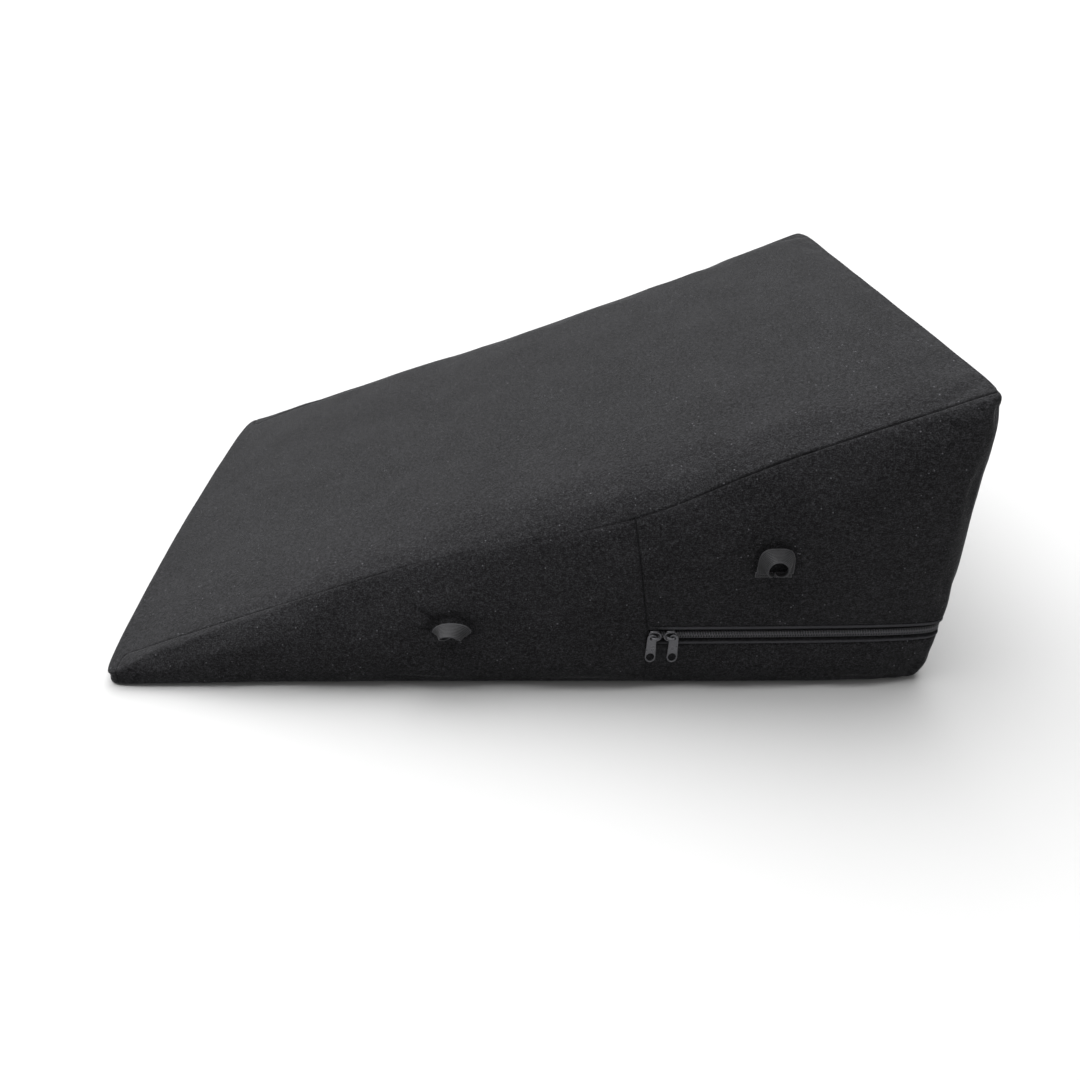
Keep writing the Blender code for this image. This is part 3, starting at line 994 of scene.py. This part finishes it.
def pull_tab(name, x, facing, front, finish):
    """Flat pull with a raised rim, a hole at its end and the eye that hangs on the bridge."""
    drop = (0.0, -PULL_LENGTH)
    outline = arc_points((0, 0), PULL_TOP_RADIUS, 0, math.pi, 16)
    outline += stretched_ring(arc_points(drop, PULL_END_RADIUS, math.pi, 2 * math.pi, 20))
    eye = arc_points((0, 0), PULL_TOP_HOLE, 0, 2 * math.pi, 20)[:-1]
    hole = stretched_ring(arc_points(drop, PULL_END_HOLE, 0, 2 * math.pi, 28)[:-1])
    eye_rim = arc_points((0, 0), PULL_TOP_HOLE + 0.0003, 0, 2 * math.pi, 20)[:-1]
    hole_rim = stretched_ring(arc_points(drop, PULL_END_HOLE + 0.0002, 0, 2 * math.pi, 28)[:-1])
    plate = mesh_of(flat_plate(name, (outline, eye, hole), PULL_THICKNESS * 0.7, 0.00012))
    rims = [rim_tube(inset_ring(outline, PULL_RIM_INSET), PULL_RIM_LEVEL, PULL_RIM_RADIUS)]
    rims.append(rim_tube(hole_rim, HOLE_RIM_LEVEL, HOLE_RIM_RADIUS))
    rims.append(rim_tube(eye_rim, EYE_RIM_LEVEL, EYE_RIM_RADIUS))
    sag = PULL_TOP_HOLE - BRIDGE_THICKNESS / 2 - GAP
    seat = Vector((bridge_leg(x, facing), front - SLIDER_PROUD - GAP - PULL_THICKNESS / 2, ZIP_LEVEL - sag))
    lean_cos, lean_sin = math.cos(PULL_LEAN), math.sin(PULL_LEAN)

    def stand(v):
        return seat + Vector((v.x, -v.z * lean_cos - v.y * lean_sin, v.y * lean_cos - v.z * lean_sin))

    tab = joined_tubes(name + "_tab", placed([plate] + rims, stand))
    finish_piece(tab, finish, "zip_metal", name)
    return tab


def slider_outline():
    """Outline of a slider's plate: a straight tail, full shoulders and a blunt nose towards +X."""
    half = SLIDER_LENGTH / 2
    points = []
    for n in range(40):
        turn = 2 * math.pi * n / 40
        across = math.sin(turn)
        along = math.cos(turn)
        squeeze = 1.0 - 0.30 * max(0.0, along) ** 2
        px = half * math.copysign(abs(along) ** (0.75 if along > 0 else 0.45), along)
        py = SLIDER_HALF_HEIGHT * math.copysign(abs(across) ** 0.7, across) * squeeze
        points.append((px, py))
    return points


def zip_slider(name, x, facing, front, finish):
    """Slider: front plate with a raised rim, flanges round the coil, and the bridge for the pull."""
    outline = slider_outline()
    plate = mesh_of(flat_plate(name, (outline,), SLIDER_PLATE, 0.0003))
    rim = rim_tube(inset_ring(outline, RIM_INSET), RIM_LEVEL, RIM_RADIUS)
    parts = [plate, rim, wall_band(outline, -SLIDER_DEPTH, 0.0)]
    outer = -(SLIDER_LENGTH / 2 - BRIDGE_INSET)
    inner = outer + BRIDGE_SPAN
    reach = 2 * GAP + PULL_THICKNESS + BRIDGE_THICKNESS / 2
    arch = (
        # place along the slider, height over its plate
        (outer, 0.0),
        (outer, BRIDGE_RISE + 0.72 * reach),
        (outer + 0.0007, BRIDGE_RISE + reach),
        (outer + 0.0020, BRIDGE_RISE + reach + 0.0001),
        (inner - 0.0014, BRIDGE_RISE + reach - 0.0002),
        (inner - 0.0002, BRIDGE_RISE + 0.55 * reach),
        (inner + 0.0002, 0.0),
    )
    line = smooth_line([Vector((along, 0.0, height)) for along, height in arch], 5)
    parts.append(flat_band(line, BRIDGE_WIDTH, BRIDGE_METAL))
    plate_y = front - SLIDER_PROUD + PLATE_FORWARD

    def stand(v):
        return Vector((x + facing * v.x, plate_y - v.z, ZIP_LEVEL + v.y))

    made = joined_tubes(name + "_body", placed(parts, stand))
    # Painted highlight: the plate is marked for a near-black colour, so the rims, walls and bridge read
    # lighter.
    dark_plate = [float(index < len(plate[0])) for index in range(len(made.data.vertices))]
    made.data.attributes.new("dark_plate", "FLOAT", "POINT").data.foreach_set("value", dark_plate)
    if facing < 0:
        made.data.flip_normals()
    finish_piece(made, finish, "zip_metal", name)
    return made


def wall_band(ring, low, high):
    """Upright wall under a plate's outline, open along the zip where the chain passes."""
    verts = []
    for (ox, oy), (ix, iy) in zip(ring, inset_ring(ring, SLIDER_WALL)):
        corners = ((ox, oy, low), (ox, oy, high), (ix, iy, high), (ix, iy, low))
        verts += [Vector(corner) for corner in corners]
    far = [abs(py) >= SLIDER_PASSAGE for _, py in ring]
    passage = [n for n in range(len(ring)) if not (far[n] and far[(n + 1) % len(ring)])]
    return verts, round_skin(len(ring), 4, passage)


def smooth_line(points, steps):
    """Smooth line through points."""
    made = []
    count = len(points)
    for n in range(count - 1):
        before, first = points[max(0, n - 1)], points[n]
        second, after = points[n + 1], points[min(count - 1, n + 2)]
        for step in range(steps):
            t = step / steps
            a = first * 2
            b = (second - before) * t
            c = (before * 2 - first * 5 + second * 4 - after) * t * t
            d = (first * 3 - before - second * 3 + after) * t * t * t
            made.append((a + b + c + d) / 2)
    made.append(points[-1].copy())
    return made


def flat_band(line, width, thickness, sides=12):
    """Band of metal with rounded edges along a line in the XZ plane."""
    shape = []
    for n in range(sides):
        turn = 2 * math.pi * n / sides
        across = math.copysign(abs(math.cos(turn)) ** 0.6, math.cos(turn)) * width / 2
        shape.append((across, math.sin(turn) * thickness / 2))
    verts = []
    for n, point in enumerate(line):
        ahead = (line[min(n + 1, len(line) - 1)] - line[max(n - 1, 0)]).normalized()
        up = Vector((-ahead.z, 0, ahead.x))
        verts += [point + Vector((0, across, 0)) + up * rise for across, rise in shape]
    return verts, skin(len(line), sides, capped=False)


# Ribbon loops


def loop_name(row, side):
    """Name of a loop, as its node in the part."""
    return "loop_" + ("near_" if side < 0 else "far_") + row[0]


def feet_width(row, z):
    """Share of the half width that a loop's outer edge keeps at a height: its feet are drawn together."""
    return 1.0 - FEET_DRAWN_IN[row[0]] * (1.0 - smooth_step(0.0, FEET_HEIGHT * row[4], z))


def loop_edges(row, share):
    """Points of the ribbon's outer and inner edge at a share of its free length, as x, z and reach."""
    name, _, _, half, height, mouth_half, mouth_height, mouth_reach, shift = row
    sewn = SEWN_HEIGHT[name]
    turn = math.pi * smooth_step(0.0, 1.0, share)
    rise = math.sin(turn) ** ARCH_SQUARE[name]
    across = math.copysign(abs(math.cos(turn)) ** ARCH_SQUARE[name], math.cos(turn))
    outer_z = sewn + (height - sewn) * rise
    step = FOOT_STEP * smooth_step(0.0, 0.0012, outer_z - sewn)
    outer = Vector((-half * across * feet_width(row, outer_z), outer_z, step))
    lift = (1 - math.cos(2 * turn)) / 2
    inner_x = -LEG_GAP * math.cos(turn) - mouth_half * math.sin(2 * turn) + shift * lift
    inner = Vector((inner_x, sewn + (mouth_height - sewn) * lift, step + mouth_reach * rise))
    return outer, inner


def loop_rungs(row):
    """Outer and inner edge of the whole ribbon, from one sewn end to the other."""
    half = row[3]
    rungs = []
    for n in range(SEWN_ROWS):
        z = SEWN_HEIGHT[row[0]] * n / SEWN_ROWS
        rungs.append((Vector((-half * feet_width(row, z), z, 0.0)), Vector((-LEG_GAP, z, 0.0))))
    free = [loop_edges(row, n / LOOP_ROWS) for n in range(LOOP_ROWS + 1)]
    other_end = [(Vector((-a.x, a.y, a.z)), Vector((-b.x, b.y, b.z))) for a, b in reversed(rungs)]
    return rungs + free + other_end


def ribbon_grid(row, side, surface):
    """Points across the middle of the ribbon, row by row, seated on the cushion's side."""
    x, z = row[1], row[2]
    seat = GAP + RIBBON_THICKNESS / 2
    across = RIBS * RIB_STEPS
    grid = []
    for outer, inner in loop_rungs(row):
        line = []
        for n in range(across + 1):
            spot = outer.lerp(inner, n / across)
            y = side * (side_reach(surface, x + spot.x, z + spot.y) + seat + spot.z)
            line.append(Vector((x + spot.x, y, z + spot.y)))
        grid.append(line)
    return grid


def ribbon_ring(grid, r, side):
    """Points round the ribbon at one row, and how high on its ridges each of them lies, which sets their
    painted shade and highlight.
    """
    before, after = grid[max(0, r - 1)], grid[min(len(grid) - 1, r + 1)]
    last = len(grid[r]) - 1
    front, back, rib_shades = [], [], []
    for n, middle in enumerate(grid[r]):
        over = grid[r][min(last, n + 1)] - grid[r][max(0, n - 1)]
        normal = over.cross(after[n] - before[n]).normalized()
        if normal.y * side < 0 and r < SEWN_ROWS:
            normal = -normal
        edge = min(n, last - n) / RIB_STEPS
        wave = math.cos(2 * math.pi * n / RIB_STEPS)
        bead = 1.0 + 0.25 * bell(edge - 0.5, 0.4)
        thick = RIBBON_THICKNESS / 2 * bead * (0.35 + 0.65 * smooth_step(-0.3, 0.5, edge)) + RIB_RELIEF * wave
        front.append(middle + normal * thick)
        back.append(middle - normal * thick)
        # Painted shade and highlight: 1 on the ridges and the edges, lower in the valleys between them.
        rib_shades.append(1.0 if edge < 0.5 else 0.5 + 0.5 * wave)
    return front + back[::-1], rib_shades + rib_shades[::-1]


def ribbon_loop(row, side, surface, finish):
    """Ribbed ribbon sewn flat at both ends and arched between them."""
    grid = ribbon_grid(row, side, surface)
    rows, last = len(grid), len(grid[0]) - 1
    verts, rib_shades = [], []
    for r in range(rows):
        ring, ring_rib_shades = ribbon_ring(grid, r, side)
        verts += ring
        rib_shades += ring_rib_shades
    name = loop_name(row, side)
    loop = object_of(name + "_ribbon", verts, skin(rows, 2 * (last + 1)))
    loop.data.attributes.new("rib_shade", "FLOAT", "POINT").data.foreach_set("value", rib_shades)
    finish_piece(loop, finish, "ribbon", name)
    return loop


def loop_stitches(row, side, surface, finish):
    """Two short rows of stitches that hold a loop's ends."""
    _, x, z, half, *_ = row
    tubes = []
    for share in STITCH_ROWS:
        up = share * SEWN_HEIGHT[row[0]]
        count = int((half * feet_width(row, up) - LEG_GAP - 0.001) / STITCH_PITCH)
        for leg in (-1, 1):
            for n in range(count):
                start = leg * (LEG_GAP + STITCH_INSET + n * STITCH_PITCH)
                points = []
                for step in range(STITCH_STEPS + 1):
                    px = x + start + leg * STITCH_PITCH * STITCH_SHARE * step / STITCH_STEPS
                    rise = STITCH_RISE * math.sin(math.pi * step / STITCH_STEPS)
                    lift = RIBBON_THICKNESS + GAP + rise - STITCH_SUNK
                    points.append(Vector((px, side * (side_reach(surface, px, z + up) + lift), z + up)))
                tubes.append(tube_mesh(points, STITCH_RADIUS, 5))
    made = joined_tubes(loop_name(row, side).replace("loop", "stitches"), tubes)
    finish_piece(made, finish, "ribbon")
    return made


# Materials


def finish_piece(thing, finish, slot, *nodes):
    """Give a piece its material and place in the part, and hide the part's nodes that it stands for."""
    thing.data.materials.clear()
    thing.data.materials.append(finish)
    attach(thing, "root")
    if nodes:
        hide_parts(*nodes)


def set_range(node, *limits):
    """Set the limits of a map range node: from low and high, to low and high."""
    for name, value in zip(("From Min", "From Max", "To Min", "To Max"), limits):
        node.inputs[name].default_value = value


class Nodes:
    """Short way to add nodes to one material."""

    def __init__(self, name):
        self.made = bpy.data.materials.new(name)
        self.made.use_nodes = True
        self.tree = self.made.node_tree
        self.shader = self.tree.nodes["Principled BSDF"]
        self.place = self.add("ShaderNodeTexCoord").outputs["Object"]

    def feed(self, socket, value):
        """Link an output to a socket, or set its number or colour."""
        if isinstance(value, bpy.types.NodeSocket):
            self.tree.links.new(value, socket)
        else:
            socket.default_value = (*value, 1.0) if socket.type == "RGBA" else value

    def add(self, kind, **values):
        """Add a node and feed its inputs by name."""
        node = self.tree.nodes.new(kind)
        for key, value in values.items():
            self.feed(node.inputs[key.replace("_", " ")], value)
        return node

    def shade(self, **values):
        """Feed the shader's inputs by name."""
        for key, value in values.items():
            self.feed(self.shader.inputs[key.replace("_", " ")], value)

    def noise(self, scale, detail=2.0, roughness=0.5, place=None):
        """Noise of a scale per metre."""
        place = place or self.place
        node = self.add("ShaderNodeTexNoise", Vector=place, Scale=scale, Detail=detail, Roughness=roughness)
        return node.outputs["Fac"]

    def share_of(self, name):
        """Value stored on the mesh under a name."""
        node = self.add("ShaderNodeAttribute")
        node.attribute_name = name
        return node.outputs["Fac"]

    def stretched(self, x, y, z):
        """The place stretched along each axis."""
        return self.add("ShaderNodeMapping", Vector=self.place, Scale=(x, y, z)).outputs["Vector"]

    def ramp(self, value, *limits):
        """Range of a value, given by low and high, spread between two numbers."""
        node = self.add("ShaderNodeMapRange", Value=value)
        set_range(node, *limits)
        return node.outputs["Result"]

    def maths(self, operation, first, second):
        """Arithmetic on two values."""
        node = self.add("ShaderNodeMath")
        node.operation = operation
        self.feed(node.inputs[0], first)
        self.feed(node.inputs[1], second)
        return node.outputs[0]

    def mix(self, share, first, second):
        """Mix of two colours."""
        node = self.add("ShaderNodeMix")
        node.data_type = "RGBA"
        for place, value in ((0, share), (6, first), (7, second)):
            self.feed(node.inputs[place], value)
        return node.outputs[2]

    def bump(self, height, strength, distance, before=None):
        """Bump from a height value, over an earlier bump."""
        node = self.add("ShaderNodeBump", Height=height, Strength=strength, Distance=distance)
        if before:
            self.feed(node.inputs["Normal"], before)
        return node.outputs["Normal"]


def brushed_cover():
    """Charcoal brushed cloth: short nap with soft patches and light lint specks, a painted highlight on the
    zip's folded lips and painted shade in the seams.
    """
    n = Nodes("brushed_cover")
    nap = n.noise(1250.0, 2.0, 0.6)
    tufts = n.noise(430.0, 3.0, 0.7)
    fibre = n.noise(1.0, 2.0, 0.7, n.stretched(500.0, 1300.0, 1300.0))
    patches = n.noise(22.0, 3.0, 0.55)
    streaks = n.noise(1.0, 3.0, 0.65, n.stretched(180.0, 420.0, 420.0))
    tone = n.maths("ADD", n.ramp(nap, 0.38, 0.66, 0.0, 0.42), n.ramp(tufts, 0.40, 0.64, 0.0, 0.24))
    tone = n.maths("ADD", tone, n.ramp(fibre, 0.40, 0.66, 0.0, 0.30))
    tone = n.maths("ADD", n.maths("POWER", tone, 1.6), n.ramp(patches, 0.30, 0.70, -0.04, 0.04))
    tone = n.maths("ADD", tone, n.ramp(streaks, 0.36, 0.64, -0.030, 0.035))
    colour = n.mix(tone, (0.0022, 0.0022, 0.0025), (0.040, 0.040, 0.043))
    spots = n.add("ShaderNodeTexVoronoi", Vector=n.place, Scale=230.0)
    rare = n.noise(150.0, 1.0)
    speck = n.ramp(spots.outputs["Distance"], 0.06, 0.16, 1.0, 0.0)
    speck = n.maths("MULTIPLY", speck, n.ramp(rare, 0.56, 0.62, 0.0, 1.0))
    colour = n.mix(n.maths("MULTIPLY", speck, 0.6), colour, (0.13, 0.13, 0.14))
    # Painted highlight: the zip's folded lips are coloured lighter, as if they caught the light.
    colour = n.mix(n.maths("MULTIPLY", n.share_of("fold_highlight"), 0.75), colour, (0.042, 0.042, 0.046))
    # Painted shade: the seams' valleys are coloured near black.
    colour = n.mix(n.maths("MULTIPLY", n.share_of("sewn"), 0.85), colour, (0.0025, 0.0025, 0.0028))
    fine = n.bump(n.maths("ADD", nap, fibre), 0.5, 0.0006)
    rough = n.ramp(nap, 0.3, 0.7, 0.88, 1.0)
    n.shade(Base_Color=colour, Roughness=rough, Normal=n.bump(tufts, 0.35, 0.0008, fine))
    n.shade(Specular_IOR_Level=0.12, Sheen_Weight=0.20, Sheen_Roughness=0.18, Sheen_Tint=(0.6, 0.6, 0.63))
    return n.made


def woven_ribbon():
    """Ribbed polyester ribbon, slightly shiny along its ridges, with painted shade in the valleys between
    them and painted highlight on the ridges and edges.
    """
    n = Nodes("woven_ribbon")
    weft = n.noise(1.0, 2.0, 0.5, n.stretched(2600.0, 900.0, 900.0))
    worn = n.noise(180.0, 3.0, 0.6)
    tone = n.maths("ADD", n.ramp(weft, 0.3, 0.7, -0.25, 0.25), n.ramp(worn, 0.3, 0.7, -0.15, 0.15))
    # Painted shade in the valleys of the ribbing and painted highlight on its ridges.
    tone = n.maths("ADD", tone, n.ramp(n.share_of("rib_shade"), 0.0, 1.0, -0.5, 0.4))
    colour = n.mix(n.ramp(tone, -0.6, 0.6, 0.0, 1.0), (0.001, 0.001, 0.0011), (0.029, 0.029, 0.032))
    n.shade(Base_Color=colour, Roughness=n.ramp(weft, 0.3, 0.7, 0.55, 0.75), Normal=n.bump(weft, 0.4, 0.0003))
    n.shade(Specular_IOR_Level=0.3, Sheen_Weight=0.06, Sheen_Roughness=0.4)
    return n.made


def zip_tape_cloth():
    """Herringbone tape of the zip."""
    n = Nodes("zip_tape_cloth")
    weave = n.add("ShaderNodeTexWave", Vector=n.place, Scale=420.0, Distortion=1.5, Detail=1.0)
    fuzz = n.noise(1200.0, 2.0, 0.6)
    tone = n.maths("ADD", n.maths("MULTIPLY", weave.outputs["Fac"], 0.6), n.maths("MULTIPLY", fuzz, 0.4))
    colour = n.mix(n.ramp(tone, 0.2, 0.8, 0.0, 1.0), (0.006, 0.006, 0.007), (0.022, 0.022, 0.024))
    n.shade(Base_Color=colour, Roughness=n.ramp(fuzz, 0.3, 0.7, 0.8, 0.95), Normal=n.bump(tone, 0.6, 0.0004))
    return n.made


def coil_plastic():
    """Dyed nylon wire of the coil, with painted shade on the back of each turn."""
    n = Nodes("coil_plastic")
    dye = n.noise(400.0, 2.0, 0.5)
    dyed = n.mix(n.ramp(dye, 0.3, 0.7, 0.0, 1.0), (0.075, 0.075, 0.081), (0.100, 0.100, 0.108))
    # Painted shade: the back of each turn is coloured near black.
    colour = n.mix(n.share_of("unshaded_crest"), (0.006, 0.006, 0.007), dyed)
    gloss = n.ramp(n.noise(2400.0, 2.0, 0.6), 0.3, 0.7, 0.32, 0.48)
    n.shade(Base_Color=colour, Roughness=gloss, Normal=n.bump(n.noise(3000.0, 2.0, 0.6), 0.2, 0.0001))
    return n.made


def sewing_thread():
    """Twisted polyester thread."""
    n = Nodes("sewing_thread")
    ply = n.noise(3000.0, 2.0, 0.6)
    colour = n.mix(n.ramp(ply, 0.3, 0.7, 0.0, 1.0), (0.020, 0.020, 0.022), (0.055, 0.055, 0.060))
    n.shade(Base_Color=colour, Roughness=n.ramp(ply, 0.3, 0.7, 0.55, 0.8), Normal=n.bump(ply, 0.5, 0.0002))
    return n.made


def slider_metal():
    """Dark zinc, worn a little lighter; a slider's plate is coloured near black, so its rims, walls and
    bridge show lighter as a painted highlight.
    """
    n = Nodes("slider_metal")
    wear = n.noise(1500.0, 3.0, 0.6)
    cloud = n.noise(260.0, 2.0, 0.5)
    colour = n.mix(n.ramp(wear, 0.45, 0.75, 0.0, 1.0), (0.085, 0.085, 0.092), (0.110, 0.110, 0.118))
    # Painted highlight: the plate is coloured near black and the raised rims, walls and bridge keep the
    # lighter metal colour.
    colour = n.mix(n.share_of("dark_plate"), colour, (0.008, 0.008, 0.009))
    rough = n.ramp(cloud, 0.3, 0.7, 0.26, 0.42)
    n.shade(Base_Color=colour, Roughness=rough, Normal=n.bump(wear, 0.05, 0.0002))
    n.shade(Metallic=0.55, Coat_Weight=0.25, Coat_Roughness=0.2)
    return n.made


def pale_floor():
    """Plain pale floor."""
    n = Nodes("pale_floor")
    cloud = n.noise(3.0, 2.0, 0.5)
    colour = n.mix(n.ramp(cloud, 0.3, 0.7, 0.0, 1.0), (0.410, 0.410, 0.410), (0.422, 0.422, 0.422))
    n.shade(Base_Color=colour, Roughness=0.9, Specular_IOR_Level=0.1)
    return n.made


# Stage


def lamp(kind, name, place, target, power):
    """Light of some kind that looks from a place at a target."""
    data = bpy.data.lights.new(name, kind)
    data.energy = power
    made = linked(name, data)
    made.location = place
    made.rotation_euler = (Vector(target) - Vector(place)).to_track_quat("-Z", "Y").to_euler()
    return data


def studio_world():
    """Plain surroundings: white along the horizon and dimmer overhead."""
    world = bpy.data.worlds.new("studio")
    world.use_nodes = True
    tree = world.node_tree
    place = tree.nodes.new("ShaderNodeTexCoord")
    parts = tree.nodes.new("ShaderNodeSeparateXYZ")
    height = tree.nodes.new("ShaderNodeMapRange")
    set_range(height, *WORLD_FADE, 1.0, WORLD_OVERHEAD)
    background = tree.nodes["Background"]
    background.inputs["Color"].default_value = (1.0, 1.0, 1.0, 1.0)
    tree.links.new(place.outputs["Generated"], parts.inputs["Vector"])
    tree.links.new(parts.outputs["Z"], height.inputs["Value"])
    tree.links.new(height.outputs["Result"], background.inputs["Strength"])
    return world


def stage():
    """Floor, lights and camera."""
    reach = FLOOR_REACH
    corners = [(-reach, -reach, 0), (reach, -reach, 0), (reach, reach, 0), (-reach, reach, 0)]
    floor = object_of("floor", corners, [(0, 1, 2, 3)], smooth=False)
    floor.location.z = -FLOOR_DROP
    floor.data.materials.append(pale_floor())
    lamp("SUN", "key", KEY_FROM, (0, 0, 0), KEY_STRENGTH).angle = KEY_ANGLE
    front = lamp("AREA", "front", FRONT_FROM, FRONT_TARGET, FRONT_POWER)
    front.shape = "RECTANGLE"
    front.size, front.size_y = FRONT_SIZE
    scene = bpy.context.scene
    scene.world = studio_world()
    scene.view_settings.view_transform = "Standard"
    lens = bpy.data.cameras.new("camera")
    lens.sensor_width = 36.0
    lens.lens = CAMERA_LENS
    lens.shift_x, lens.shift_y = CAMERA_SHIFT
    lens.clip_start = 0.01
    scene.camera = linked("camera", lens)
    scene.camera.location = CAMERA_PLACE
    scene.camera.rotation_euler = (math.pi / 2 - CAMERA_PITCH, 0, 0)


def main():
    """Build every piece."""
    guide = foam_wedge("guide", 2)
    surface = search_tree(guide)
    bpy.data.objects.remove(guide)
    cushion(brushed_cover())
    tape_finish = zip_tape_cloth()
    metal = slider_metal()
    ribbon = woven_ribbon()
    thread = sewing_thread()
    zip_tape(surface, tape_finish)
    zip_coil(surface, coil_plastic())
    coil_thread(surface, thread)
    left_x = ZIP_START + SLIDER_LENGTH / 2 + GAP
    right_x = left_x + SLIDER_LENGTH + SLIDER_GAP
    for name, x, facing in (("left", left_x, 1), ("right", right_x, -1)):
        front = -side_reach(surface, x, ZIP_LEVEL)
        zip_slider("slider_" + name, x, facing, front, metal)
        pull_tab("pull_" + name, x, facing, front, metal)
    for row in LOOPS:
        for side in (-1, 1):
            ribbon_loop(row, side, surface, ribbon)
            loop_stitches(row, side, surface, thread)
    stage()


main()
